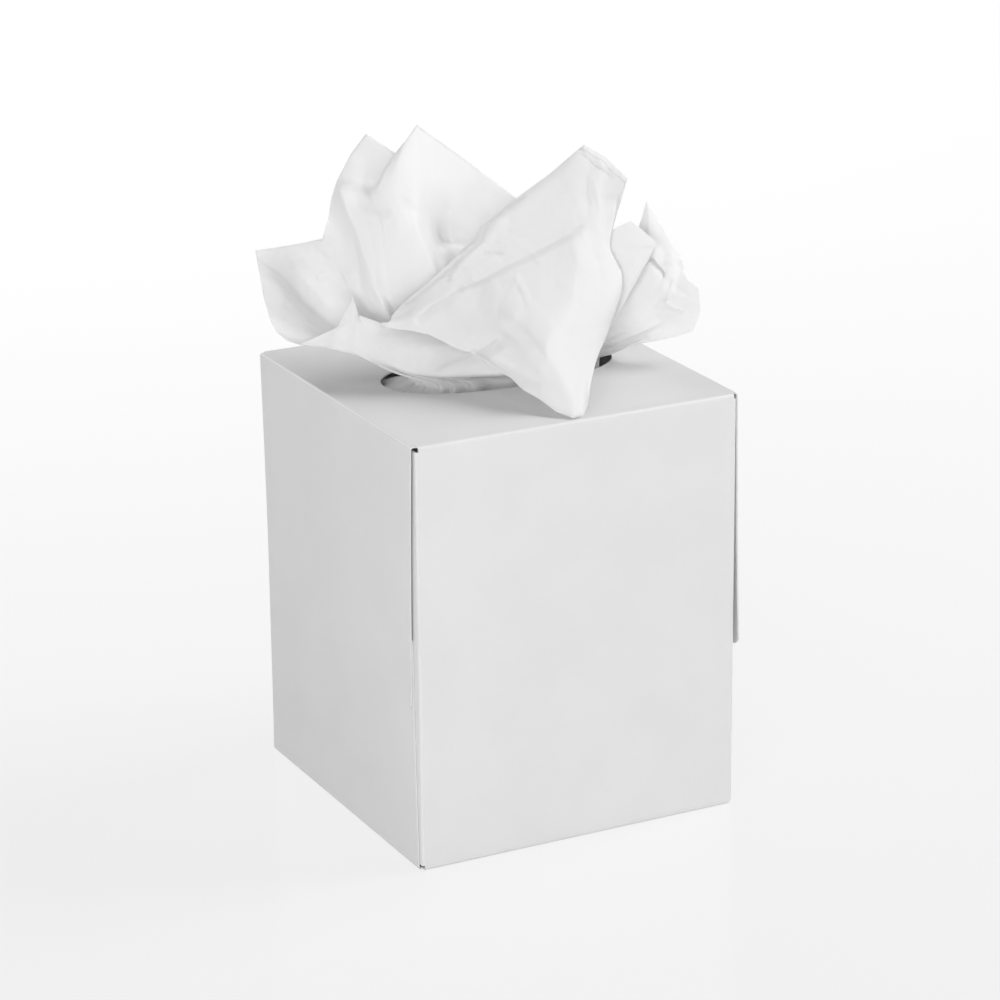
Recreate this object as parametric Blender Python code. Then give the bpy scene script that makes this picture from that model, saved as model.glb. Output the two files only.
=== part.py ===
"""An upright tissue carton, its folded pad of tissues and two drawn tissues. Metres, +Z up.

The origin is the middle of the carton's base. The front panel faces -Y, and the two ends that the flaps
close face -X and +X.
"""

import math

import bmesh
import bpy
from mathutils import Vector

# Carton, folded from one blank of board
carton_width = 0.110
carton_depth = 0.110
board = 0.0005
layer_gap = 0.0001
fold_radius = 0.0004
fold_steps = 4

# Flaps that close the ends
outer_flap_length = 0.0845
outer_flap_side = 0.0015
outer_flap_taper = 0.0021
outer_flap_corner = 0.003
bottom_flap_length = 0.076
bottom_flap_side = 0.0012
bottom_flap_taper = 0.0018
bottom_flap_corner = 0.004
dust_flap_gap = 0.018
dust_flap_side = 0.0016
dust_flap_corner = 0.008
glue_flap_length = 0.015
taper_steps = 5
corner_steps = 4
sprung_flap_splay = 0.003

# Spots of glue between the layers
glue_spot = 0.009
glue_bite = 0.0002

# Oval opening cut in the top panel
opening_length = 0.077
opening_width = 0.039
opening_centre_x = 0.0025
opening_centre_y = 0.003
opening_squareness = 2.15
opening_steps = 48
cut_overrun = 0.004

# Pad of tissues, folded in half and bent over into an arch
pad_thickness = 0.030
pad_clearance = 0.0003
pad_side_clearance = 0.0025
pad_headroom = 0.0118
arch_steps = 28

# The two drawn tissues
tissue = 0.0003
tissue_seat = 0.0005
plume_reach = 0.070
plume_height = 0.088
plume_turn = math.radians(-27)
pleat = 0.0011
throat_drop = 0.005
foot_spread = (0.003, 0.013)
inner_foot_spread = (0.001, 0.003)
low_share = 0.40
upper_share = 0.52
ridge_share = 0.62
fall_share = 0.45
hang_share = 0.55
ridge_sharpness = 0.7

# Each rib runs from the opening up to the sheet's edge. Its place in the opening is in shares of the
# opening's half length and half width, and its other points are across, toward the viewer and up, in
# shares of the plume's reach, reach and height. The last number is how sharp the fold along it is.
REAR_RIB_SHARES = [
    ("band end", (0.09, -0.77), (-0.09, 0.27, 0.05), None, (-0.07, 0.29, 0.11), 0),
    ("band", (-0.17, -0.87), (-0.29, 0.29, 0.10), None, (-0.28, 0.29, 0.19), 0),
    ("band crease", (-0.38, -0.85), (-0.41, 0.27, 0.11), None, (-0.47, 0.26, 0.24), 0.5),
    ("small facet", (-0.56, -0.74), (-0.53, 0.24, 0.13), None, (-0.63, 0.21, 0.24), 0.5),
    ("prow", (-0.69, -0.56), (-0.64, 0.20, 0.13), None, (-0.84, 0.17, 0.15), 0.3),
    ("scoop side", (-0.75, -0.33), (-0.75, 0.14, 0.17), None, (-0.97, 0.10, 0.23), 0),
    ("scoop corner", (-0.78, -0.10), (-0.79, 0.06, 0.26), None, (-1.03, 0.00, 0.44), 0),
    ("scoop back", (-0.77, 0.10), (-0.69, 0.00, 0.27), None, (-0.88, -0.06, 0.45), 0),
    ("valley", (-0.66, 0.12), (-0.62, -0.03, 0.29), None, (-0.73, -0.10, 0.46), 0.8),
    ("strip", (-0.56, 0.19), (-0.58, 0.01, 0.39), (-0.64, -0.04, 0.52), (-0.71, -0.13, 0.58), 0.6),
    ("left edge", (-0.45, 0.24), (-0.50, 0.07, 0.33), (-0.59, 0.04, 0.56), (-0.67, -0.10, 0.66), 0.9),
    ("second corner", (-0.33, 0.28), (-0.44, 0.09, 0.32), (-0.45, 0.06, 0.56), (-0.55, -0.17, 0.82), 0.2),
    ("notch", (-0.21, 0.31), (-0.35, 0.06, 0.33), (-0.32, 0.03, 0.54), (-0.43, -0.24, 0.73), 0.8),
    ("third corner", (-0.09, 0.33), (-0.27, -0.09, 0.32), (-0.27, -0.14, 0.57), (-0.33, -0.23, 0.84), 0.2),
    ("back edge", (0.05, 0.34), (-0.21, -0.23, 0.32), (-0.21, -0.29, 0.51), (-0.14, -0.31, 0.71), 0.3),
    ("back valley", (0.20, 0.34), (-0.02, -0.31, 0.26), None, (0.10, -0.40, 0.54), 0.3),
    ("behind", (0.35, 0.32), (0.14, -0.39, 0.21), None, (0.28, -0.49, 0.48), 0.5),
    ("behind right", (0.48, 0.27), (0.29, -0.37, 0.17), None, (0.47, -0.43, 0.39), 0.3),
    ("fin left", (0.60, 0.20), (0.46, -0.34, 0.18), None, (0.65, -0.34, 0.44), 0.5),
    ("fin top", (0.69, 0.11), (0.55, -0.31, 0.18), None, (0.68, -0.29, 0.54), 0.6),
    ("fin edge", (0.76, 0.00), (0.65, -0.27, 0.14), None, (0.84, -0.23, 0.34), 0.2),
    ("fin corner", (0.79, -0.15), (0.69, -0.24, 0.11), None, (0.90, -0.17, 0.25), 0.3),
    ("fin low", (0.79, -0.31), (0.68, -0.21, 0.08), None, (0.90, -0.13, 0.16), 0.5),
    ("fin under", (0.75, -0.46), (0.66, -0.23, 0.04), None, (0.85, -0.11, 0.11), 0),
]

# The front sheet goes up behind, over a ridge and down in front. After its place in the opening each rib
# has its back, ridge, front and edge. The last two ribs stop at the ridge.
FRONT_RIB_SHARES = [
    ("fold start", (-0.40, -0.46), (-0.40, 0.10, 0.12),
     (-0.43, 0.11, 0.25), (-0.40, 0.17, 0.20), (-0.36, 0.20, 0.14), 0),
    ("fold low", (-0.30, -0.36), (-0.28, 0.06, 0.20),
     (-0.28, 0.09, 0.34), (-0.25, 0.17, 0.24), (-0.22, 0.21, 0.13), 0),
    ("fold mid", (-0.17, -0.31), (-0.14, 0.01, 0.26),
     (-0.14, 0.04, 0.43), (-0.12, 0.19, 0.29), (-0.10, 0.24, 0.14), 0.3),
    ("fold high", (-0.01, -0.26), (0.03, -0.07, 0.37),
     (0.10, -0.04, 0.62), (0.05, 0.19, 0.34), (-0.01, 0.34, 0.09), 0.5),
    ("shoulder", (0.14, -0.26), (0.23, -0.14, 0.42),
     (0.36, -0.11, 0.76), (0.21, 0.21, 0.35), (0.21, 0.54, 0.03), 0.5),
    ("hem left", (0.30, -0.26), (0.34, -0.16, 0.42),
     (0.40, -0.13, 0.78), (0.31, 0.24, 0.32), (0.35, 0.67, 0.01), 0.6),
    ("hem middle", (0.43, -0.31), (0.43, -0.16, 0.40),
     (0.49, -0.13, 0.72), (0.40, 0.16, 0.29), (0.40, 0.55, 0.03), 0.4),
    ("hem right", (0.56, -0.36), (0.49, -0.16, 0.38),
     (0.58, -0.13, 0.66), (0.47, 0.04, 0.27), (0.40, 0.11, 0.03), 0.2),
    ("right edge", (0.64, -0.38), (0.52, -0.13, 0.32),
     (0.52, -0.09, 0.45), (0.54, -0.03, 0.26), (0.43, 0.00, 0.05), 0.3),
    ("small fin", (0.70, -0.36), (0.55, -0.11, 0.30), (0.60, -0.11, 0.51), None, None, 0.5),
    ("fin tip", (0.71, -0.26), (0.56, -0.10, 0.23), (0.71, -0.09, 0.44), None, None, 0),
]

# Sizes worked out from those above
half_width = carton_width / 2
half_depth = carton_depth / 2
bend = fold_radius + board / 2
layer_pitch = board + layer_gap
bottom_mid = board / 2
side_mid = half_depth - board / 2
glue_flap_mid = side_mid - layer_pitch
outer_flap_mid = half_width - board / 2
bottom_flap_mid = outer_flap_mid - layer_pitch
dust_flap_mid = bottom_flap_mid - layer_pitch
dust_flap_length = half_depth - dust_flap_gap / 2
sleeve_end = dust_flap_mid - bend
pad_radius = dust_flap_mid - board / 2 - pad_clearance
pad_inner_radius = pad_radius - pad_thickness
pad_seat = board + pad_clearance
sheet_length = 2 * (carton_depth - 2 * board - 2 * pad_side_clearance)
arch_centre = pad_seat + sheet_length / 2 - math.pi / 2 * pad_inner_radius
pad_foot_outer = arch_centre + math.pi / 2 * pad_radius - sheet_length / 2
carton_height = arch_centre + pad_radius + pad_headroom + board
top_mid = carton_height - board / 2


def material(name, colour, roughness):
    paint = bpy.data.materials.new(name)
    paint.use_nodes = True
    shader = paint.node_tree.nodes["Principled BSDF"]
    shader.inputs["Base Color"].default_value = (*colour, 1)
    shader.inputs["Roughness"].default_value = roughness
    shader.inputs["Metallic"].default_value = 0
    return paint


def add_object(name, mesh_builder, paint=None):
    """Turn a bmesh into an object in the scene."""
    mesh = bpy.data.meshes.new(name)
    mesh_builder.to_mesh(mesh)
    mesh_builder.free()
    obj = bpy.data.objects.new(name, mesh)
    bpy.context.scene.collection.objects.link(obj)
    if paint:
        mesh.materials.append(paint)
    return obj


def as_guide(obj):
    """A cutter or a filler that only a Boolean reads."""
    obj.hide_render = True
    obj.display_type = "WIRE"
    return obj


def boolean(obj, operand, operation):
    cut = obj.modifiers.new(operation.title(), "BOOLEAN")
    cut.operation = operation
    cut.solver = "EXACT"
    cut.object = operand


def quarter_bend(y, z, start):
    """Points of a quarter turn in the plane of Y and Z, of radius bend around (y, z)."""
    turns = [start + math.pi / 2 * step / fold_steps for step in range(fold_steps + 1)]
    return [(y + bend * math.cos(turn), z + bend * math.sin(turn)) for turn in turns]


def sleeve_path():
    """The sleeve's mid line from the foot of the back panel, over the top, to the glue flap.

    Returns the points and, for each panel, the two of them between which its end flap is hinged.
    """
    path = [(side_mid, layer_gap)]
    hinges = {}

    def hinge(name, first, second):
        path.extend((first, second))
        hinges[name] = (len(path) - 2, len(path) - 1)

    dust_top = carton_height - dust_flap_side
    hinge("back", (side_mid, dust_flap_side), (side_mid, dust_top))
    path.extend(quarter_bend(side_mid - bend, top_mid - bend, 0))
    edge = half_depth - outer_flap_side
    hinge("top", (edge, top_mid), (-edge, top_mid))
    path.extend(quarter_bend(-side_mid + bend, top_mid - bend, math.pi / 2))
    hinge("front", (-side_mid, dust_top), (-side_mid, dust_flap_side))
    path.extend(quarter_bend(-side_mid + bend, bottom_mid + bend, math.pi))
    edge = half_depth - bottom_flap_side - layer_pitch
    hinge("bottom", (-edge, bottom_mid), (edge, bottom_mid))
    path.extend(quarter_bend(glue_flap_mid - bend, bottom_mid + bend, 3 * math.pi / 2))
    path.append((glue_flap_mid, glue_flap_length))
    return path, hinges


def add_flap(sheet, hinge, run, turn, plane, length, corner, taper=0.0, splay=0.0):
    """Fold a flap down from the two vertices of its hinge.

    run points out of the carton's end and turn the way the flap heads. plane is how far along run the
    flap's mid plane lies from the carton's middle. Each side of the flap is cut back by taper at its
    free end, and splay is how far that end springs out.
    """
    along = (hinge[1].co - hinge[0].co).normalized()
    flat = plane - bend - hinge[0].co.dot(run)
    lift = math.asin(splay / length)
    angle = math.pi / 2 - lift
    starts = [vert.co.copy() for vert in hinge]
    last = list(hinge)
    for step in range(fold_steps + 1):
        swing = angle * step / fold_steps
        offset = run * (flat + bend * math.sin(swing)) + turn * (bend - bend * math.cos(swing))
        if offset.length == 0:
            continue
        row = [sheet.verts.new(start + offset) for start in starts]
        sheet.faces.new((last[0], last[1], row[1], row[0]))
        last = row
    heading = run * math.cos(angle) + turn * math.sin(angle)
    straight = length - flat - bend * angle
    sides = []
    for step in range(1, taper_steps):
        share = step / taper_steps
        sides.append((taper * math.sin(math.pi / 2 * share), (straight - corner) * share))
    for step in range(corner_steps + 1):
        turned = math.pi / 2 * step / corner_steps
        sides.append((taper + corner * (1 - math.cos(turned)), straight - corner + corner * math.sin(turned)))
    outline = [last[1]]
    for side, base, points in ((1, last[1], sides), (-1, last[0], reversed(sides))):
        for inward, down in points:
            outline.append(sheet.verts.new(base.co - along * side * inward + heading * down))
    outline.append(last[0])
    sheet.faces.new(outline)


def glue_spots():
    """Short blocks of glue that bridge the gap between two layers of board."""
    glue = bmesh.new()
    depth = layer_gap + 2 * glue_bite

    def spot(centre, thin_axis):
        block = bmesh.ops.create_cube(glue, size=1)["verts"]
        scale = [glue_spot, glue_spot, glue_spot]
        scale[thin_axis] = depth
        bmesh.ops.scale(glue, vec=scale, verts=block)
        bmesh.ops.translate(glue, vec=centre, verts=block)

    under_outer = outer_flap_mid - board / 2 - layer_gap / 2
    under_bottom = under_outer - layer_pitch
    overlap_height = (carton_height - outer_flap_length + bottom_flap_length) / 2
    dust_y = half_depth - dust_flap_length / 2
    for side in (-1, 1):
        spot((-under_outer, side * dust_y, overlap_height), 0)
        spot((-under_bottom, side * dust_y, bottom_flap_length / 2), 0)
        spot((under_bottom, side * dust_y, bottom_flap_length / 2), 0)
    seam = side_mid - board / 2 - layer_gap / 2
    for place in (-1, 0, 1):
        spot((place * half_width / 2, seam, glue_flap_length / 2), 1)
    return as_guide(add_object("glue_guide", glue))


def opening_cutter():
    """An upright prism on the opening's rounded oval."""
    cutter = bmesh.new()
    ring = []
    for step in range(opening_steps):
        turn = 2 * math.pi * step / opening_steps
        reach = (abs(math.cos(turn)) ** opening_squareness + abs(math.sin(turn)) ** opening_squareness)
        reach = reach ** (-1 / opening_squareness)
        x = opening_centre_x + opening_length / 2 * reach * math.cos(turn)
        y = opening_centre_y + opening_width / 2 * reach * math.sin(turn)
        ring.append(cutter.verts.new((x, y, carton_height - cut_overrun)))
    floor = cutter.faces.new(ring)
    rise = bmesh.ops.extrude_face_region(cutter, geom=[floor])["geom"]
    lifted = [item for item in rise if isinstance(item, bmesh.types.BMVert)]
    bmesh.ops.translate(cutter, vec=(0, 0, 2 * cut_overrun), verts=lifted)
    bmesh.ops.recalc_face_normals(cutter, faces=cutter.faces)
    return as_guide(add_object("opening_guide", cutter))


def make_carton():
    """One sheet of board: a sleeve with an end flap on each panel at both ends."""
    path, hinges = sleeve_path()
    sheet = bmesh.new()
    rows = [[sheet.verts.new((x, y, z)) for y, z in path] for x in (-sleeve_end, sleeve_end)]
    for index in range(len(path) - 1):
        sheet.faces.new((rows[0][index], rows[0][index + 1], rows[1][index + 1], rows[1][index]))
    down, up = Vector((0, 0, -1)), Vector((0, 0, 1))
    flaps = (
        ("top", down, outer_flap_mid, outer_flap_length, outer_flap_corner, outer_flap_taper),
        ("bottom", up, bottom_flap_mid, bottom_flap_length, bottom_flap_corner, bottom_flap_taper),
        ("front", Vector((0, 1, 0)), dust_flap_mid, dust_flap_length, dust_flap_corner, 0),
        ("back", Vector((0, -1, 0)), dust_flap_mid, dust_flap_length, dust_flap_corner, 0),
    )
    for row, run in zip(rows, (Vector((-1, 0, 0)), Vector((1, 0, 0)))):
        for panel, turn, plane, length, corner, taper in flaps:
            hinge = [row[index] for index in hinges[panel]]
            splay = sprung_flap_splay if panel == "top" and run.x > 0 else 0
            add_flap(sheet, hinge, run, turn, plane, length, corner, taper, splay)
    bmesh.ops.recalc_face_normals(sheet, faces=sheet.faces)
    carton = add_object("carton", sheet, material("white board", (0.80, 0.80, 0.80), 0.42))
    wall = carton.modifiers.new("Board", "SOLIDIFY")
    wall.thickness = board
    wall.offset = 0
    wall.use_even_offset = True
    boolean(carton, opening_cutter(), "DIFFERENCE")
    boolean(carton, glue_spots(), "UNION")
    return carton


def pad_top(x):
    """Height of the pad's arched back above the base, at a place across the carton."""
    return arch_centre + math.sqrt(max(pad_radius ** 2 - x ** 2, 0))


def make_pad():
    """The pad of tissues: an arch whose outer sheets end higher than its inner ones."""
    turns = [math.pi * step / arch_steps for step in range(arch_steps + 1)]
    outer, inner = (
        [(radius * math.cos(turn), arch_centre + radius * math.sin(turn)) for turn in turns]
        for radius in (pad_radius, pad_inner_radius)
    )
    outline = [(pad_radius, pad_foot_outer), *outer, (-pad_radius, pad_foot_outer)]
    outline += [(-pad_inner_radius, pad_seat), *reversed(inner), (pad_inner_radius, pad_seat)]
    pad = bmesh.new()
    end = pad.faces.new([pad.verts.new((x, -sheet_length / 4, z)) for x, z in outline])
    run = bmesh.ops.extrude_face_region(pad, geom=[end])["geom"]
    moved = [item for item in run if isinstance(item, bmesh.types.BMVert)]
    bmesh.ops.translate(pad, vec=(0, sheet_length / 2, 0), verts=moved)
    bmesh.ops.recalc_face_normals(pad, faces=pad.faces)
    return add_object("tissue_stack", pad, material("pad tissue", (0.82, 0.82, 0.82), 0.9))


def plume_point(shares):
    """A point of the plume from its shares across, toward the viewer and up."""
    across, toward, up = shares
    x = plume_reach * (across * math.cos(plume_turn) + toward * math.sin(plume_turn))
    y = plume_reach * (across * math.sin(plume_turn) - toward * math.cos(plume_turn))
    return Vector((x, y, carton_height + plume_height * up))


def throat_points(shares, index, spread):
    """The rib's three lowest points: on the pad, under the panel and in the opening."""
    pleated = pleat if index % 2 else -pleat
    centre = Vector((opening_centre_x, opening_centre_y))
    offset = Vector((shares[0] * opening_length / 2, shares[1] * opening_width / 2))
    inward = offset - offset.normalized() * pleated
    throat = Vector((*(centre + inward), top_mid))
    under = throat - Vector((0, 0, throat_drop))
    foot = centre + inward + offset.normalized() * Vector(spread)
    return [Vector((*foot, pad_top(foot.x) + tissue_seat + tissue / 2)), under, throat]


def tissue_sheet(name, ribs, creases, paint, ridge_row=None):
    """A thin sheet over ribs of points, smoothed, with a fold along each rib and its edges kept crisp.

    ridge_row is the row of points along which a sheet doubles back on itself.
    """
    sheet = bmesh.new()
    fold = sheet.edges.layers.float.new("crease_edge")
    corner = sheet.verts.layers.float.new("crease_vert")
    grid = [[sheet.verts.new(point) for point in rib] for rib in ribs]
    for left, right in zip(grid, grid[1:]):
        for row in range(min(len(left), len(right)) - 1):
            sheet.faces.new((left[row], right[row], right[row + 1], left[row + 1]))
    for rib, sharpness in zip(grid, creases):
        rib[-1][corner] = 1
        for low, high in zip(rib, rib[1:]):
            sheet.edges.get((low, high))[fold] = sharpness
    if ridge_row:
        for left, right in zip(grid, grid[1:]):
            sheet.edges.get((left[ridge_row], right[ridge_row]))[fold] = ridge_sharpness
    bmesh.ops.recalc_face_normals(sheet, faces=sheet.faces)
    obj = add_object(name, sheet, paint)
    smooth = obj.modifiers.new("Smooth", "SUBSURF")
    smooth.levels = 1
    smooth.render_levels = 1
    ply = obj.modifiers.new("Ply", "SOLIDIFY")
    ply.thickness = tissue
    ply.offset = 0
    return obj


def make_rear_tissue(paint):
    ribs = []
    for index, (_, throat, middle, upper, edge, _) in enumerate(REAR_RIB_SHARES):
        points = throat_points(throat, index, foot_spread)
        middle, edge = plume_point(middle), plume_point(edge)
        upper = plume_point(upper) if upper else middle.lerp(edge, upper_share)
        ribs.append([*points, points[-1].lerp(middle, low_share), middle, upper, edge])
    return tissue_sheet("rear_tissue", ribs, [rib[-1] for rib in REAR_RIB_SHARES], paint)


def make_front_tissue(paint):
    ribs = []
    ridge_row = None
    for index, (_, throat, back, ridge, front, edge, _) in enumerate(FRONT_RIB_SHARES):
        points = throat_points(throat, index, inner_foot_spread)
        back, ridge = plume_point(back), plume_point(ridge)
        points += [points[-1].lerp(back, low_share), back, back.lerp(ridge, ridge_share), ridge]
        if front:
            front, edge = plume_point(front), plume_point(edge)
            points += [ridge.lerp(front, fall_share), front, front.lerp(edge, hang_share), edge]
        ridge_row = ridge_row or points.index(ridge)
        ribs.append(points)
    return tissue_sheet("front_tissue", ribs, [rib[-1] for rib in FRONT_RIB_SHARES], paint, ridge_row)


for old in list(bpy.data.objects):
    bpy.data.objects.remove(old)

make_carton()
make_pad()
drawn_tissue = material("drawn tissue", (0.86, 0.86, 0.86), 0.9)
make_rear_tissue(drawn_tissue)
make_front_tissue(drawn_tissue)
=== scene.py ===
"""The looks of an upright tissue carton with two drawn tissues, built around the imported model."""

import math

import bmesh
import bpy
import numpy as np
from mathutils import Matrix, Vector


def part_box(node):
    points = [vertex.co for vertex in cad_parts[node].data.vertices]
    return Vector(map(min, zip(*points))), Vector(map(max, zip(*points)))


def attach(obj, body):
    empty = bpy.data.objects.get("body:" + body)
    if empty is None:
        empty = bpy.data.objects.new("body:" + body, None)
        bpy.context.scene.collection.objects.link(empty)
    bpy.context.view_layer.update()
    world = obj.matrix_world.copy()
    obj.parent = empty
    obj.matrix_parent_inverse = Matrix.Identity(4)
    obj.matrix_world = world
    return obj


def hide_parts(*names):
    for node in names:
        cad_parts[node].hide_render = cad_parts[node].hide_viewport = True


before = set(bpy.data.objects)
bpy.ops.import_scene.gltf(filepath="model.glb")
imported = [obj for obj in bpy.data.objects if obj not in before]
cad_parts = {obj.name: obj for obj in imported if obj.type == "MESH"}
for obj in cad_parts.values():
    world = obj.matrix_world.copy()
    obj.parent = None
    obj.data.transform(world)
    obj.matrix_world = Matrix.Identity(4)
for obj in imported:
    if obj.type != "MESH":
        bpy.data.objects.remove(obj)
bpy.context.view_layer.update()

scene = bpy.context.scene
scene.view_settings.view_transform = "Standard"


# Camera: a long lens a little over a metre off, left of the carton's front and above it.
# Places on the plume are named by the pixel of the photograph that they fall on and by how far they
# stand toward the viewer from the carton's middle.
photo_width = 1000
focal_pixels = 3800
sensor = 36.0
azimuth, elevation, roll = math.radians(-27.07), math.radians(19.11), math.radians(-0.53)
camera_distance = 1.1891
aim_height = 0.066
aim_right, aim_up = 0.0011, 0.02497

view_back = Vector((math.sin(azimuth) * math.cos(elevation), -math.cos(azimuth) * math.cos(elevation),
                    math.sin(elevation)))
level_right = Vector((math.cos(azimuth), math.sin(azimuth), 0))
level_up = view_back.cross(level_right)
view_right = math.cos(roll) * level_right + math.sin(roll) * level_up
view_up = -math.sin(roll) * level_right + math.cos(roll) * level_up
toward_viewer = Vector((math.sin(azimuth), -math.cos(azimuth), 0))
eye = Vector((0, 0, aim_height)) + view_back * camera_distance + view_right * aim_right + view_up * aim_up

lens = bpy.data.cameras.new("camera")
lens.lens = sensor * focal_pixels / photo_width
lens.sensor_width = sensor
lens.clip_start, lens.clip_end = 0.05, 20
camera = bpy.data.objects.new("camera", lens)
camera.matrix_world = Matrix.Translation(eye) @ Matrix((view_right, view_up, view_back)).transposed().to_4x4()
scene.collection.objects.link(camera)
scene.camera = camera


def pick(pixel_x, pixel_y, toward):
    """The point on that pixel's sight line that stands toward millimetres before the carton's middle."""
    line = -view_back + view_right * (pixel_x - photo_width / 2) / focal_pixels
    line -= view_up * (pixel_y - photo_width / 2) / focal_pixels
    reach = (toward / 1000 - eye.dot(toward_viewer)) / line.dot(toward_viewer)
    return eye + line * reach


# Carton: one blank of white clay-coated board, 0.5 mm thick, folded into a sleeve and glued.
# Its folds are pressed lines where the coating is stretched. Along the top folds at its two ends a painted
# highlight lifts the colour to white.
class Channel:
    """A socket of a node tree. Adding to it or multiplying it adds a Math node."""

    def __init__(self, nodes, socket):
        self.nodes, self.socket = nodes, socket

    def sum(self, operation, other):
        return self.nodes.node("ShaderNodeMath", {"operation": operation}, {0: self, 1: other})

    def __add__(self, other):
        return self.sum("ADD", other)

    def __mul__(self, other):
        return self.sum("MULTIPLY", other)

    __radd__, __rmul__ = __add__, __mul__


class Nodes:
    """A node tree and the few kinds of node that the finishes need."""

    def __init__(self, owner):
        owner.use_nodes = True
        self.tree = owner.node_tree

    def join(self, value, socket):
        if isinstance(value, Channel):
            self.tree.links.new(value.socket, socket)
        else:
            socket.default_value = value

    def node(self, kind, settings=(), sockets=(), output=0):
        made = self.tree.nodes.new(kind)
        for name, value in dict(settings).items():
            setattr(made, name, value)
        for name, value in dict(sockets).items():
            self.join(value, made.inputs[name])
        return Channel(self, made.outputs[output])

    def place(self, name="Object"):
        return self.node("ShaderNodeTexCoord", output=name)

    def axis(self, place, name):
        return self.node("ShaderNodeSeparateXYZ", {}, {0: place}, name)

    def noise(self, place, scale, detail=3.0, roughness=0.5):
        return self.node("ShaderNodeTexNoise", {}, {"Vector": place, "Scale": scale, "Detail": detail,
                                                    "Roughness": roughness}, "Fac")

    def stretch(self, place, scale):
        """Scale a place along each axis."""
        return self.node("ShaderNodeVectorMath", {"operation": "MULTIPLY"}, {0: place, 1: scale})

    def blend(self, share, first, second):
        """Mix two colours."""
        return self.node("ShaderNodeMix", {"data_type": "RGBA"}, {0: share, 6: first, 7: second}, 2)

    def ramp(self, value, low, high, at_low=0.0, at_high=1.0):
        """One level below low, another above high, and a smooth change between them."""
        return self.node("ShaderNodeMapRange", {"interpolation_type": "SMOOTHSTEP"},
                         {"Value": value, "From Min": low, "From Max": high, "To Min": at_low,
                          "To Max": at_high})

    def bump(self, height, distance, strength=1.0):
        return self.node("ShaderNodeBump", {}, {"Height": height, "Distance": distance, "Strength": strength})

    def is_camera_ray(self):
        return self.node("ShaderNodeLightPath", output="Is Camera Ray")


class Finish(Nodes):
    """A material with a Principled shader."""

    def __init__(self, name):
        self.material = bpy.data.materials.new(name)
        super().__init__(self.material)
        self.shader = self.tree.nodes["Principled BSDF"]

    def feed(self, **sockets):
        for name, value in sockets.items():
            self.join(value, self.shader.inputs[name.replace("_", " ").title()])

    def constant(self, name, value):
        self.shader.inputs[name].default_value = value

    def mix_in(self, share, other):
        """Give another shader its share of the surface."""
        own = Channel(self, self.shader.outputs[0])
        mixed = self.node("ShaderNodeMixShader", {}, {0: share, 1: own, 2: other})
        self.join(mixed, self.tree.nodes["Material Output"].inputs[0])


def dress(node, finish):
    """Give a CAD node its finish."""
    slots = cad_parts[node].data.materials
    slots.clear()
    slots.append(finish.material)


carton_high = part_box("carton")[1]
carton_half_width = 0.055
board_thickness = 0.0005
board_white = (0.72, 0.72, 0.72, 1)
board_shade = (0.70, 0.70, 0.70, 1)
board_gloss = 0.45
board_roughness, roughness_swing = 0.42, 0.12
board_grain, grain_strength = 0.00004, 0.6
mottle_scale, pulp_scale = 38, 900
# Painted highlight on the top folds at the two ends: its white, how far it reaches in from the edge and how
# strongly it lifts the colour
fold_highlight_white = (1.0, 1.0, 1.0, 1)
fold_highlight_width = 0.0006
fold_highlight_gain = 1.8

board = Finish("white_board")
board_place = board.place()
mottle = board.noise(board_place, mottle_scale, 4.0)
pulp = board.noise(board_place, pulp_scale, 2.0)
# Painted highlight: a thin band along the top edge at each end of the carton turns white
near_top = board.ramp(board.axis(board_place, "Z"), carton_high.z - fold_highlight_width, carton_high.z)
off_middle = board.node("ShaderNodeMath", {"operation": "ABSOLUTE"}, {0: board.axis(board_place, "X")})
near_end = board.ramp(off_middle, carton_half_width - fold_highlight_width, carton_half_width)
painted_fold_highlight = near_top * near_end * fold_highlight_gain
tone = board.blend(board.ramp(mottle, 0.3, 0.7), board_shade, board_white)
board.feed(base_color=board.blend(painted_fold_highlight, tone, fold_highlight_white),
           roughness=board_roughness + mottle * roughness_swing,
           normal=board.bump(pulp + mottle * 2.0, board_grain, grain_strength))
board.constant("Specular IOR Level", board_gloss)
dress("carton", board)


# Pad: interleaved two-ply tissues, folded in half, bent over into an arch and slid in.
# Its sheets show as fine lines along the arch where their cut ends meet the carton's front and back.
pad_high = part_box("tissue_stack")[1]
pad_radius = 0.053
pad_white = (0.80, 0.80, 0.80, 1)
pad_line = (0.66, 0.66, 0.66, 1)
line_scale, line_share, line_depth = 260, 0.35, 0.0002
tissue_roughness = 0.9

pad_paper = Finish("pad_paper")
pad_place = pad_paper.place()
sheet_lines = pad_paper.node("ShaderNodeTexWave", {"wave_type": "RINGS", "rings_direction": "Y"},
                             {"Vector": pad_place, "Scale": line_scale, "Distortion": 1.5, "Detail": 2.0},
                             "Fac")
pad_fibres = pad_paper.noise(pad_place, 320, 4.0)
pad_paper.feed(base_color=pad_paper.blend(sheet_lines * line_share, pad_white, pad_line),
               roughness=tissue_roughness, normal=pad_paper.bump(pad_fibres + sheet_lines, line_depth))
dress("tissue_stack", pad_paper)


# Rear tissue: a soft two-ply sheet, drawn half out of the pad and gathered in the opening.
# Its cut edge runs round the plume: the scoop at the left, two square corners behind and the right fin.
sheet_width, drawn_length = 0.203, 0.104
ply_thickness = 0.00022
opening_centre = Vector((0.0025, 0.003))
seat_gap = 0.0007
throat_drop = 0.005

# How wide the skirt is (m), and where it starts in front and behind and over what length it opens (mm)
skirt = 0.012
skirt_front, skirt_back, skirt_run = -20, -14, 7

pleat = 0.0011
rear_foot_spread = (0.010, 0.013)
low_share, upper_share, high_share = 0.4, 0.4, 0.5
row_steps, rib_steps = 13, 12
free_height = 0.010

# Half the length of a small crease in pixels, and how far it bows as a share of that
crease_reach = (8, 30)
crease_bow = 0.25

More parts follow.
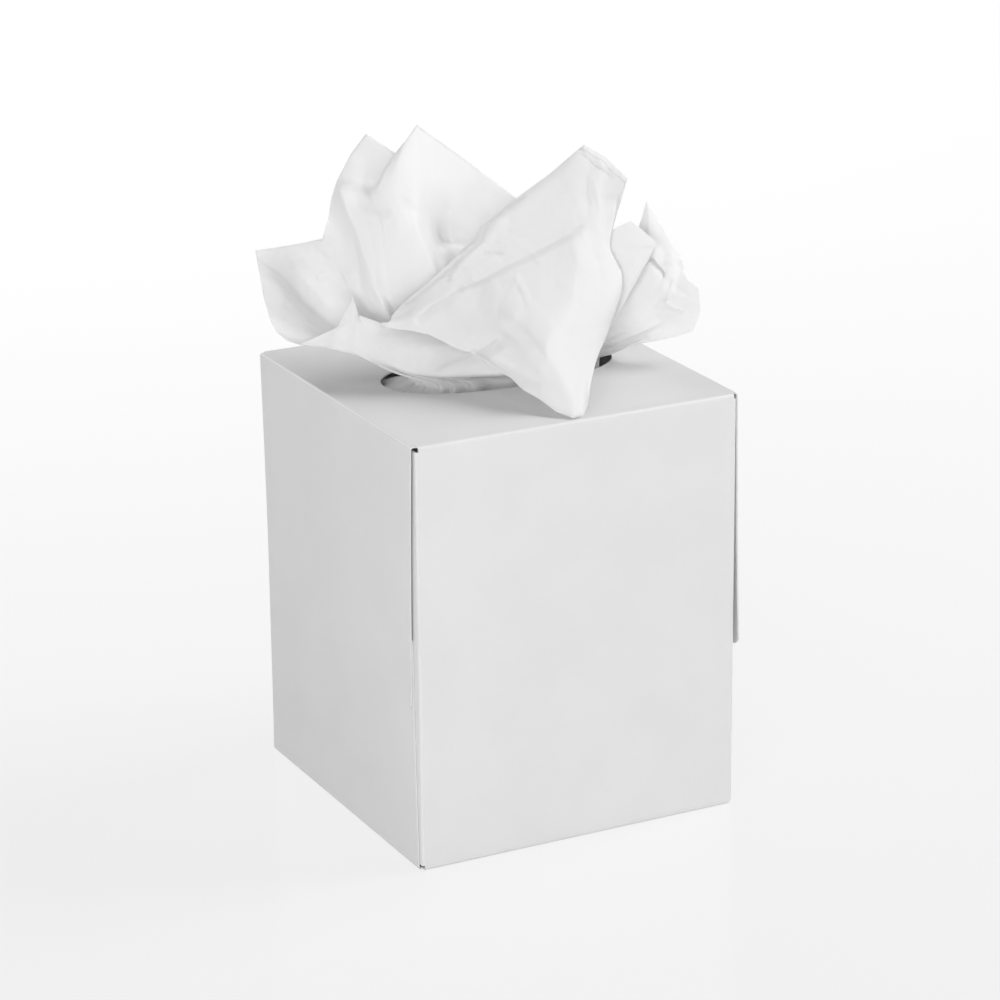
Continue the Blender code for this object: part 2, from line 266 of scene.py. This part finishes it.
# Each rib: where it passes the opening (mm), picks up to the cut edge, and how sharp its fold is
REAR_RIBS = [
    ("band tuck", (12, -9.3), (506, 370, 19), (509, 354, 15), None, (514, 334, 9), 0),
    ("band end", (6, -10.5), (478, 371, 19), (482, 355, 17), None, (486, 338, 12), 0),
    ("band right", (-1, -11.5), (452, 371, 20), (455, 352, 18), None, (462, 330, 11), 0),
    ("band", (-8, -11.5), (424, 371, 20.5), (428, 345, 18.5), None, (436, 318, 10), 0),
    ("band crease", (-14, -11.5), (400, 366, 20), (398, 340, 18), None, (394, 321, 13.4), 0.2),
    ("band left", (-17, -11), (386, 360, 19), (384, 338, 17.5), None, (381, 323, 15), 0.2),
    ("facet right", (-19.5, -10.5), (374, 356, 18), (368, 334, 17), None, (358, 315, 15), 0.5),
    ("facet top", (-21.5, -9.8), (364, 353, 17), (357, 325, 15.5), None, (353, 297, 12), 0.6),
    ("facet left", (-23, -9), (354, 350, 16.5), (346, 338, 15.5), None, (338, 327, 14.5), 0.5),
    ("prow", (-25, -7), (345, 352, 15), (322, 347, 14), None, (299, 344.5, 12.5), 0.3),
    ("scoop front", (-26, -5.5), (334, 347, 13), None, None, (287, 340.5, 11), 0),
    ("scoop side", (-26.5, -4.3), (324, 341, 11.5), None, None, (276.5, 332, 9.5), 0),
    ("scoop turn", (-27, -3), (319, 334, 8.5), None, None, (269.5, 318, 9.5), 0),
    ("scoop low", (-27.2, -2), (316, 325, 6), None, None, (264, 298, 7.5), 0),
    ("scoop left", (-27.4, -0.8), (314, 316, 3.5), None, None, (259, 270, 4.5), 0),
    ("scoop corner", (-27.5, 0.5), (313, 308, 1), None, None, (255.5, 250.5, 1.5), 0),
    ("scoop back", (-27, 4), (330, 298, -0.5), None, None, (292, 245, -3), 0),
    ("valley", (-25, 7.5), (353, 294, 5), None, None, (322.5, 239, -7.5), 0.8),
    ("strip", (-22, 10), (365, 297, 7.5), (344, 248, -2), (333, 226, -6.5), (329, 216, -8), 0.2),
    ("left side", (-19, 11.5), (374, 303, 9.5), (349, 238, 0), (336, 207, -4), (331, 201, -7.5), 0),
    ("left edge", (-16, 12.5), (382, 304, 10.5), (356, 231, 4), (341, 193, 0), (337, 181, -3), 0.85),
    ("second left", (-13.5, 13.5), (387, 300, 8), (371, 226, 6.5), (355, 187, -1.2), (351, 154, -8.5), 0),
    ("second corner", (-11, 14.2), (393, 300, 7.5), (384, 222, 7.5), (367, 186, -2), (366, 134, -12.5), 0.2),
    ("notch", (-7.5, 15), (402, 302, 7), (396, 219, 7), (378, 184, -1.5), (395.5, 153.5, -8.8), 0.85),
    ("third left", (-4.5, 15.3), (418, 292, 6), (406, 220, 6), (393, 187, 0.2), (404, 143, -9.5), 0.2),
    ("third corner", (-1, 15.8), (438, 276, 3.2), (417.5, 224, 4), (415, 190, -1.5), (416.6, 125, -14.5),
     0.15),
    ("hollow", (2, 16), (446, 262, -8), (431, 224, -7), (434, 190, -9), (436, 139, -18), 0.1),
    ("back edge", (6.5, 16), (460, 256, -10), (452, 226, -10.5), (454, 195, -13), (460, 156, -21), 0.3),
    ("back valley", (11, 16), (490, 264, -20), None, None, (516, 198, -27), 0.3),
    ("behind", (17.5, 14.5), (525, 280, -24), None, None, (556, 215, -32), 0.5),
    ("behind right", (23, 12), (560, 295, -24), None, None, (600, 240, -28), 0.3),
    ("fin left", (27, 9), (600, 305, -20), (618, 262, -20), None, (639, 228, -22), 0.5),
    ("fin top", (29.5, 6.5), (614, 315, -13), (650.5, 258, -13), None, (646.6, 202, -20), 0.6),
    ("fin crack", (31, 4.5), (632, 313, -10.5), (665, 274, -12), None, (665, 233, -18), 0.6),
    ("fin edge", (32, 3), (645, 316, -10.5), (671, 281, -11), None, (682, 261, -16), 0.4),
    ("fin shoulder", (32.7, 1.5), (655, 318, -10.5), (672, 297, -11.5), None, (687, 279, -14), 0.3),
    ("fin corner", (33, 0), (661, 322, -10), (681, 307, -10.5), None, (699, 288.5, -12), 0.5),
    ("fin low", (33, -2), (660, 328, -9), (682, 320, -9.3), None, (700.5, 312, -10), 0.5),
    ("fin under", (32.3, -4.5), (652, 336, -8.5), None, None, (693, 331, -9), 0.3),
    ("fin base", (31, -7), (636, 344, -8), None, None, (660, 340, -9.5), 0),
]


def pad_back(x):
    """Height of the pad's arched back at a place across the carton."""
    return pad_high.z - pad_radius + math.sqrt(pad_radius ** 2 - x ** 2)


def throat(x, y, index, spread):
    """The three lowest points of a rib: on the pad, under the panel and in the opening.

    The ribs at the left end spread into a skirt just under the panel.
    """
    offset = Vector((x, y)) / 1000
    offset -= offset.normalized() * (pleat if index % 2 else -pleat)
    foot = opening_centre + offset + offset.normalized() * Vector(spread)
    rise = Vector((*(opening_centre + offset), carton_high.z - board_thickness / 2))
    share = min(1, max(0, ((skirt_back if y > 0 else skirt_front) - x) / skirt_run))
    under = rise + Vector((*(offset.normalized() * skirt * share), -throat_drop * (1 - share / 4)))
    return [Vector((*foot, pad_back(foot.x) + seat_gap)), under, rise]


def run_through(points, folds, steps):
    """Smooth curves down the columns of a table of points. A fold of 1 leaves a sharp corner."""
    spans = np.diff(points, axis=0)
    lengths = np.maximum(np.linalg.norm(spans, axis=2, keepdims=True), 1e-5)
    slopes = spans / lengths
    smooth = (slopes[:-1] * lengths[1:] + slopes[1:] * lengths[:-1]) / (lengths[:-1] + lengths[1:])
    inner = folds[1:-1, :, None]
    leaving = np.concatenate([slopes[:1], smooth + (slopes[1:] - smooth) * inner]) * lengths
    arriving = np.concatenate([smooth + (slopes[:-1] - smooth) * inner, slopes[-1:]]) * lengths
    share = (np.arange(steps) / steps)[None, :, None, None]
    curve = (points[:-1, None] * (2 * share ** 3 - 3 * share ** 2 + 1)
             + leaving[:, None] * (share ** 3 - 2 * share ** 2 + share)
             + points[1:, None] * (3 * share ** 2 - 2 * share ** 3)
             + arriving[:, None] * (share ** 3 - share ** 2))
    return np.concatenate([curve.reshape(-1, *points.shape[1:]), points[-1:]])


def lay_sheet(name, ribs, rib_folds, crisp_rows, row_folds=(), short_from=None):
    """A fine sheet through ribs of points, with its place on the flat sheet as its UV map.

    Near a crisp row the sheet runs straight from rib to rib. row_folds are folds across the ribs: row,
    first rib, last rib, sharpness. The ribs from short_from on have fewer points, and the sheet has no
    part above them.
    """
    rows = max(len(points) for points in ribs)
    table = np.array([[*points, *[points[-1]] * (rows - len(points))] for points in ribs]).transpose(1, 0, 2)
    across = np.zeros((rows, len(ribs)))
    for row, first, last, sharpness in row_folds:
        across[row, first:last + 1] = sharpness
    fine = run_through(table, across, row_steps)
    down = np.tile(np.array(rib_folds, float), (len(fine), 1))
    for row in crisp_rows:
        closeness = np.clip(1 - abs(np.arange(len(fine)) / row_steps - row) / 0.5, 0, 1)
        down += (1 - down) * closeness[:, None]
    if short_from:
        last_row = (len(ribs[short_from]) - 1) * row_steps
        down[last_row + 1:, short_from - 1] = 1
    fine = run_through(fine.transpose(1, 0, 2), down.T, rib_steps).transpose(1, 0, 2)
    sheet = bmesh.new()
    sheet.loops.layers.uv.new("flat")
    bmesh.ops.create_grid(sheet, x_segments=fine.shape[1] - 1, y_segments=fine.shape[0] - 1, size=0.5,
                          calc_uvs=True)
    unused = []
    for index, vert in enumerate(sheet.verts):
        row, rib = divmod(index, fine.shape[1])
        vert.co = fine[row, rib]
        if short_from and row > last_row and rib > (short_from - 1) * rib_steps:
            unused.append(vert)
    bmesh.ops.delete(sheet, geom=unused, context="VERTS")
    mesh = bpy.data.meshes.new(name)
    sheet.to_mesh(mesh)
    sheet.free()
    obj = bpy.data.objects.new(name, mesh)
    scene.collection.objects.link(obj)
    return obj


def press(obj, folds):
    """Press folds into the sheet along lines that are drawn on the photograph.

    Each fold is its line's pixels, how far it stands toward the viewer in millimetres, and over how many
    pixels it fades to the left and to the right of the line's heading. A fold is full from free_height
    above the carton and fades out below.
    """
    total = len(obj.data.vertices)
    where = np.empty(total * 3)
    obj.data.vertices.foreach_get("co", where)
    where = where.reshape(-1, 3)
    offset = where - eye
    far = -(offset @ view_back)
    seen = np.stack([offset @ view_right, -(offset @ view_up)], 1) / far[:, None] * focal_pixels
    seen += photo_width / 2
    push = np.zeros(total)
    for line, height, left, right in folds:
        nearest = np.full(total, np.inf)
        side = np.zeros(total)
        for start, end in zip(np.array(line[:-1], float), np.array(line[1:], float)):
            run = end - start
            share = np.clip((seen - start) @ run / (run @ run), 0, 1)
            gap = seen - start - share[:, None] * run
            reach = np.hypot(*gap.T)
            closer = reach < nearest
            nearest[closer] = reach[closer]
            turn = (run[0] * gap[:, 1] - run[1] * gap[:, 0]) / np.maximum(np.hypot(*run) * reach, 1e-6)
            side[closer] = turn[closer]
        fade = (left * (1 - side) + right * (1 + side)) / 2
        push += height * np.clip(1 - nearest / fade, 0, 1)
    free = np.clip((where[:, 2] - carton_high.z) / free_height, 0, 1)
    where -= offset / np.linalg.norm(offset, axis=1)[:, None] * (push * free / 1000)[:, None]
    obj.data.vertices.foreach_set("co", where.ravel())
    obj.data.update()


def crumple(obj, seed, low, high, count, fades=(3, 22), heights=(0.15, 0.55)):
    """Press small folds of random place and heading into the part of the picture from low to high."""
    chance = np.random.default_rng(seed)
    folds = []
    for _ in range(count):
        middle = chance.uniform(low, high)
        heading = chance.uniform(0, 2 * math.pi)
        half = np.array((math.cos(heading), math.sin(heading))) * chance.uniform(*crease_reach)
        bow = np.array((-half[1], half[0])) * chance.uniform(-crease_bow, crease_bow)
        height = chance.uniform(*heights) * chance.choice((-1, 1))
        folds.append(((middle - half, middle + bow, middle + half), height, *chance.uniform(*fades, 2)))
    press(obj, folds)


paper_white = (0.97, 0.97, 0.97, 1)
paper_cloud = (0.94, 0.94, 0.94, 1)
paper_glow = (0.96, 0.96, 0.96, 1)
glow_share = 0.45
paper_gloss = 0.2
paper_grain = 0.00015
crepe_stretch = (1, 0.25, 1)

paper = Finish("soft_tissue")
spread_flat = paper.stretch(paper.place("UV"), (sheet_width, drawn_length, 1))
crepe = paper.noise(paper.stretch(spread_flat, crepe_stretch), 2400, 2.0)
fibres = paper.noise(spread_flat, 700, 5.0, 0.65)
clouds = paper.noise(spread_flat, 60)
paper.feed(base_color=paper.blend(clouds, paper_cloud, paper_white), roughness=tissue_roughness,
           normal=paper.bump(fibres + crepe * 0.5, paper_grain, 0.5))
paper.constant("Specular IOR Level", paper_gloss)
paper.mix_in(glow_share, paper.node("ShaderNodeBsdfTranslucent", {}, {"Color": paper_glow}))


def finish_sheet(obj, node):
    """Give the sheet its thickness, finish and place in the frame."""
    obj.data.materials.append(paper.material)
    obj.data.shade_smooth()
    ply = obj.modifiers.new("Ply", "SOLIDIFY")
    ply.thickness = ply_thickness
    ply.offset = 0
    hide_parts(node)
    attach(obj, "root")


rear_rows = []
for index, (_, place, middle, upper, high, edge, _) in enumerate(REAR_RIBS):
    rib = throat(*place, index, rear_foot_spread)
    middle, edge = pick(*middle), pick(*edge)
    upper = pick(*upper) if upper else middle.lerp(edge, upper_share)
    high = pick(*high) if high else upper.lerp(edge, high_share)
    rear_rows.append([*rib, rib[-1].lerp(middle, low_share), middle, upper, high, edge])
rear = lay_sheet("rear_sheet", rear_rows, [rib[-1] for rib in REAR_RIBS], (len(rear_rows[0]) - 1,))
REAR_FOLDS = [
    # back corners: the fold across the left one, the small folds under it and where the right one laps it
    (((337, 184), (356, 185), (373, 185)), -1.1, 3, 9),
    (((341, 188), (356, 192), (368, 197)), 0.8, 4, 5),
    (((357, 202), (368, 210), (385, 213)), -0.7, 9, 5),
    (((396, 155), (386, 170), (378, 186)), 1.8, 26, 1.5),
    # long fold down the left corner, with the strip beside it
    (((340, 190), (347, 211), (356, 230), (378, 284), (387, 302)), 2.0, 26, 14),
    (((356, 246), (359, 265), (363, 290)), -0.9, 5, 7),
    (((352, 224), (357, 233)), -0.5, 2, 3),
    (((324, 243), (338, 262), (346, 278), (352, 291)), 1.1, 10, 3),
    # scoop
    (((292, 258), (304, 280), (328, 305)), -1.8, 26, 26),
    # bottom of the valley between the scoop and the corners
    (((352, 293), (359, 301), (369, 313), (382, 326)), -0.6, 2.5, 4),
    (((357, 304), (360, 315), (376, 321)), -0.5, 3, 6),
    (((382, 301), (390, 317)), 1.1, 2.5, 8),
    (((386, 300), (397, 308), (391, 316)), -0.7, 4, 5),
    # edge of the bright panel, the hollow beside it and the crease at its foot
    (((417, 224), (427, 250), (437, 273)), 1.7, 2, 26),
    (((424, 212), (434, 222), (440, 240)), -1.2, 13, 12),
    (((448, 212), (449, 240)), -0.7, 5, 14),
    (((441, 240), (452, 244), (464, 247)), -0.9, 8, 1.5),
    # right fin: its slit, its facet and the folds at its foot
    (((651, 258.5), (664.6, 273.5)), -3.0, 1.1, 1.1),
    (((671, 281), (668, 290), (666, 299)), -0.8, 2, 6),
    (((665, 299), (670, 306), (680, 310)), -1.2, 3, 5),
    (((662, 320), (680, 318.5), (699, 318)), 0.9, 14, 16),
    # band
    (((441, 369), (456, 362), (472, 356)), -1.2, 3, 8),
    (((408, 352), (432, 350), (455, 345)), 0.7, 12, 12),
]
press(rear, REAR_FOLDS)

# Small folds by chance: the seed, two corners of the part of the picture that they fall in, how many
REAR_SOFT_CREASES = [
    (3, (255, 130), (500, 360), 46),
    (4, (600, 200), (705, 345), 16),
]
REAR_CRISP_CREASES = [
    (5, (325, 195), (400, 315), 26),
    (6, (262, 250), (350, 345), 14),
    (7, (300, 318), (490, 368), 22),
    (9, (625, 240), (700, 340), 14),
]
crisp = {"fades": (1.5, 7), "heights": (0.12, 0.3)}
for creases in REAR_SOFT_CREASES:
    crumple(rear, *creases)
for creases in REAR_CRISP_CREASES:
    crumple(rear, *creases, **crisp)
finish_sheet(rear, "rear_tissue")


# Front tissue: a second sheet in front of the first. It rises to a tall lobe with its pressed hem at
# the top, doubles over along the lobe's left side and hangs down as a tongue over the top panel.
front_foot_spread = (0.001, 0.003)
halfway = 0.5

# Each rib: where it passes the opening (mm), the back, the ridge, picks down the front to the cut edge,
# and how sharp its fold is. The last four stop at the ridge.
FRONT_RIBS = [
    ("fold start", (-13, -6), (402, 340, 7), (391, 317, 13.3), (391, 319, 13.8), (390, 321, 14.3),
     (388, 322, 15), (387, 323, 16), (386, 324.5, 16.5), (384, 326, 17), 0),
    ("fold low", (-11, -5), (412, 330, 6), (402, 304.5, 10.2), (405, 308, 11.8), (406, 312, 13),
     (404, 317, 15), (401, 322, 16.5), (399, 326, 17), (397, 329, 17.5), 0),
    ("light corner", (-9, -4.5), (422, 322, 5), (413, 295, 9.2), (416, 299, 11), (418, 304, 13),
     (418, 310, 15), (417, 317, 17), (415, 324, 18), (413, 331, 18.5), 0.2),
    ("fold", (-7, -4), (434, 314, 4), (426, 284.5, 8.2), (429, 289, 10.2), (431, 296, 12),
     (433, 305, 14.5), (433, 315, 17), (431, 325, 18.5), (430, 335, 19), 0),
    ("fold mid", (-5, -3.5), (448, 305, 2), (441, 271, 6.6), (445, 276, 8.6), (448, 283, 10),
     (452, 294, 12.5), (452, 310, 16), (449, 328, 18.5), (446, 343, 19.8), 0),
    ("crease start", (-3, -3), (460, 296, 0), (452, 260, 5), (456, 265, 7.2), (460, 273, 8.5),
     (464, 289, 11), (466, 308, 15.5), (464, 333, 19.5), (459, 350, 21), 0.2),
    ("elbow", (-1, -2.5), (472, 287, -2), (462, 250, 2.5), (466.5, 254, 6), (471, 262, 7),
     (480, 280.5, 9), (480, 305, 14.5), (476, 335, 21), (470, 352.5, 22.5), 0),
    ("fold high", (1, -2.2), (485, 277, -4), (474, 240.5, 1), (480, 243, 4.5), (486, 253, 5.5),
     (494, 273, 8), (495, 300, 14.5), (488, 340, 23), (482, 360, 25.5), 0.3),
    ("narrow", (3, -2), (497, 266, -6), (482.5, 226, -0.5), (489, 230, 2.5), (496, 243, 3.5),
     (507, 267, 7), (509, 300, 14.5), (502, 345, 25.5), (496, 368.5, 28.5), 0.2),
    ("above narrow", (5.5, -2), (513, 256, -8), (500, 212.5, -2.5), (505, 216, 0), (511, 230, 1.5),
     (523, 260, 5.5), (525, 295, 13.5), (518, 350, 28.5), (511, 378, 32.5), 0),
    ("shoulder", (8, -2), (530, 250, -10), (517, 198, -4.5), (521, 202, -2.5), (527, 218, -0.5),
     (536, 253, 4), (538, 292, 13), (533, 352, 31.5), (523, 390, 37), 0.2),
    ("lobe left", (11, -2), (558, 245, -12), (550, 174, -8), (553, 178, -6.5), (556, 195, -4),
     (556, 243, 2), (553, 290, 12), (547, 352, 33), (540, 399.5, 41.5), 0.3),
    ("hem corner", (15, -2), (578, 245, -13), (584, 145, -11), (583.5, 153, -9.5), (582, 175, -7),
     (581, 231, 0), (574, 285, 10.5), (563, 350, 29.5), (556, 411.5, 45.5), 0.3),
    ("hem middle", (19, -3), (592, 250, -13), (606, 158, -11), (603, 165, -10), (600, 185, -8),
     (599, 236, -2.5), (592, 290, 7.5), (577, 350, 24.5), (573, 418, 48), 0.2),
    ("hem fold", (21.5, -3.5), (597, 252.5, -12.5), (617, 168.5, -11), (613, 175, -10.2), (606, 196, -8.5),
     (602, 239, -3.5), (601, 288, 5.5), (586, 350, 20.5), (583, 416, 46), 0.2),
    ("hem right", (24, -4), (602, 255, -12), (627, 178.5, -11), (621.5, 184, -10.5), (611, 207, -9),
     (605, 243, -4.5), (610, 287, 3), (594, 346, 15.5), (588, 404, 42), 0.2),
    ("right edge", (26, -4.4), (600, 275, -11), (620, 191, -11), (618, 198, -10.5), (614.5, 218, -9),
     (609.8, 247, -5.5), (621.5, 274, -3), (609, 328, 3), (586, 376, 22), 0.4),
    ("fin foot", (27, -4.2), (606, 290, -4), (606, 232, -9), 0.3),
    ("small fin", (28, -3.8), (618, 292, -4.5), (631, 221, -12), 0.5),
    ("fin tip", (28.6, -3.2), (618, 303, -4.5), (655.5, 241.5, -9.5), 0.5),
    ("strip edge", (29, -4), (617, 316, -4.5), (649, 259, -9.2), 0),
]

# The fold between the strip and the small fin
STRIP_FOLD = {"fin foot": (606, 251, -6.5), "small fin": (625, 249.5, -6.8), "fin tip": (650, 247, -8.5)}

front_rows = []
for index, (name, place, *picks, _) in enumerate(FRONT_RIBS):
    rib = throat(*place, index, front_foot_spread)
    back, ridge, *fall = [pick(*spot) for spot in picks]
    middle = pick(*STRIP_FOLD[name]) if name in STRIP_FOLD else back.lerp(ridge, halfway)
    front_rows.append([*rib, rib[-1].lerp(back, halfway), back, middle, ridge, *fall])

rib_names = [rib[0] for rib in FRONT_RIBS]
fold_mid, hem_fold, right_edge, fin_foot, fin_tip = (
    rib_names.index(name) for name in ("fold mid", "hem fold", "right edge", "fin foot", "fin tip"))
strip_row, ridge_row, crease_row = 5, 6, 9
edge_row = len(front_rows[0]) - 1
ACROSS_FOLDS = [
    (ridge_row, 0, right_edge, 0.85),
    (crease_row, fold_mid, hem_fold, 0.5),
    (strip_row, fin_foot, fin_tip, 0.9),
]
front = lay_sheet("front_sheet", front_rows, [rib[-1] for rib in FRONT_RIBS], (ridge_row, edge_row),
                  ACROSS_FOLDS, short_from=fin_foot)
FRONT_FOLDS = [
    # rolled left edge of the lobe
    (((523, 196), (505, 208), (486, 223), (482, 240), (466, 254), (446, 272), (408, 303)), -0.9, 3, 3),
    # pressed crease across the lobe and the facet above it
    (((461, 288), (482, 281), (508, 266), (536, 253), (560, 241), (581, 228)), -1.2, 14, 2.5),
    (((461, 293), (484, 286), (510, 271), (538, 258), (562, 246)), 0.6, 3, 30),
    (((418, 318), (430, 308), (445, 299), (457, 289)), -1.0, 3, 9),
    (((464, 252), (458, 262), (450, 272), (449, 280)), -0.8, 4, 3),
    (((484, 253), (502, 252)), -0.6, 2, 3),
    # hem: the pressed double line and the fine folds below it
    (((580, 149), (603, 162), (624, 182)), -0.5, 1.5, 1.5),
    (((582, 154), (600, 168), (613, 178)), -0.5, 1.5, 2),
    (((602, 163), (598, 200), (601, 235), (604, 252)), 0.9, 7, 12),
    (((586, 176), (589, 204)), -0.5, 2, 4),
    (((594, 180), (603, 222)), 0.4, 3, 3),
    # right edge
    (((613, 268), (616, 275)), -0.35, 2, 3),
    # foot of the lobe: the soft fold and the rolled edge
    (((478, 353), (490, 348), (497, 342)), -1.7, 3, 9),
    (((473, 352), (494, 367), (523, 389)), 0.8, 3, 3),
    # tongue: its bright ridge, the dimple and a small crease
    (((514, 320), (530, 335), (546, 354), (561, 375), (573, 398), (578, 410)), 2.8, 28, 13),
    (((539, 370.5), (551, 372)), -0.9, 1.5, 2),
    (((527, 377), (536, 383)), -0.5, 3, 3),
    # strip and small fin
    (((624, 249.5), (650, 246.5)), -0.4, 1.5, 5),
    (((617, 266), (631, 263)), -0.5, 2, 4),
]
press(front, FRONT_FOLDS)

front_soft_creases = (8, (400, 150), (625, 400), 46)
front_crisp_creases = (10, (420, 170), (620, 400), 30)
crumple(front, *front_soft_creases)
crumple(front, *front_crisp_creases, **crisp)
finish_sheet(front, "front_tissue")


# Floor: a pale, smooth table top that mirrors the carton faintly. It isn't part of the object.
# Most of what the camera sees of it is a plain white, lighter at the back. The rest is the lit table top,
# with its shadow and mirror image.
floor_reach = 4
floor_mesh = bmesh.new()
bmesh.ops.create_grid(floor_mesh, x_segments=1, y_segments=1, size=floor_reach)
floor_data = bpy.data.meshes.new("floor")
floor_mesh.to_mesh(floor_data)
floor_mesh.free()
floor = bpy.data.objects.new("floor", floor_data)
scene.collection.objects.link(floor)
table_white = (0.80, 0.80, 0.80, 1)
table_roughness = 0.12
shown_near, shown_far = (0.905, 0.90, 0.902, 1), (1.15, 1.15, 1.15, 1)
near_end_y, far_end_y = -0.3, 1.0
shown_share = 0.82
table = Finish("pale_table")
table.feed(base_color=table_white, roughness=table_roughness)
depth = table.ramp(table.axis(table.place(), "Y"), near_end_y, far_end_y)
shown = table.node("ShaderNodeEmission", {}, {"Color": table.blend(depth, shown_near, shown_far)})
table.mix_in(table.is_camera_ray() * shown_share, shown)
floor_data.materials.append(table.material)


# Light: a plain white room that is brighter at the left, and soft lamps all round. The strong one stands
# at the right and above, the next at the left in front, and only the strong one shows in the table.
room_left, room_right = 0.64, 0.0
room_turn = 0.6
backdrop_white = 1.0
lamp_side = 0.6
lamp_aim = Vector((0, 0, 0.1))

# Each lamp: its place (m) and its power (W)
LAMPS = [
    ("key_lamp", (0.83, -0.146, 0.827), 10.3),
    ("left_lamp", (-0.70, -0.834, 0.273), 6.6),
    ("front_lamp", (0.70, -0.834, 0.273), 1.8),
    ("back_lamp", (0.288, 0.792, 0.827), 2.0),
]

world = bpy.data.worlds.new("room")
scene.world = world
room = Nodes(world)
side_glow = room.ramp(room.axis(room.place("Generated"), "X"), -room_turn, room_turn, room_left, room_right)
strength = room.node("ShaderNodeMix", {}, {0: room.is_camera_ray(), 2: side_glow, 3: backdrop_white})
background = room.tree.nodes["Background"]
room.join(strength, background.inputs["Strength"])
room.join((1, 1, 1, 1), background.inputs["Color"])

for name, place, watts in LAMPS:
    data = bpy.data.lights.new(name, "AREA")
    data.shape = "RECTANGLE"
    data.size, data.size_y = lamp_side, lamp_side
    data.energy = watts
    lamp = bpy.data.objects.new(name, data)
    facing = (Vector(place) - lamp_aim).to_track_quat("Z", "Y").to_matrix().to_4x4()
    lamp.matrix_world = Matrix.Translation(place) @ facing
    lamp.visible_glossy = name == "key_lamp"
    scene.collection.objects.link(lamp)
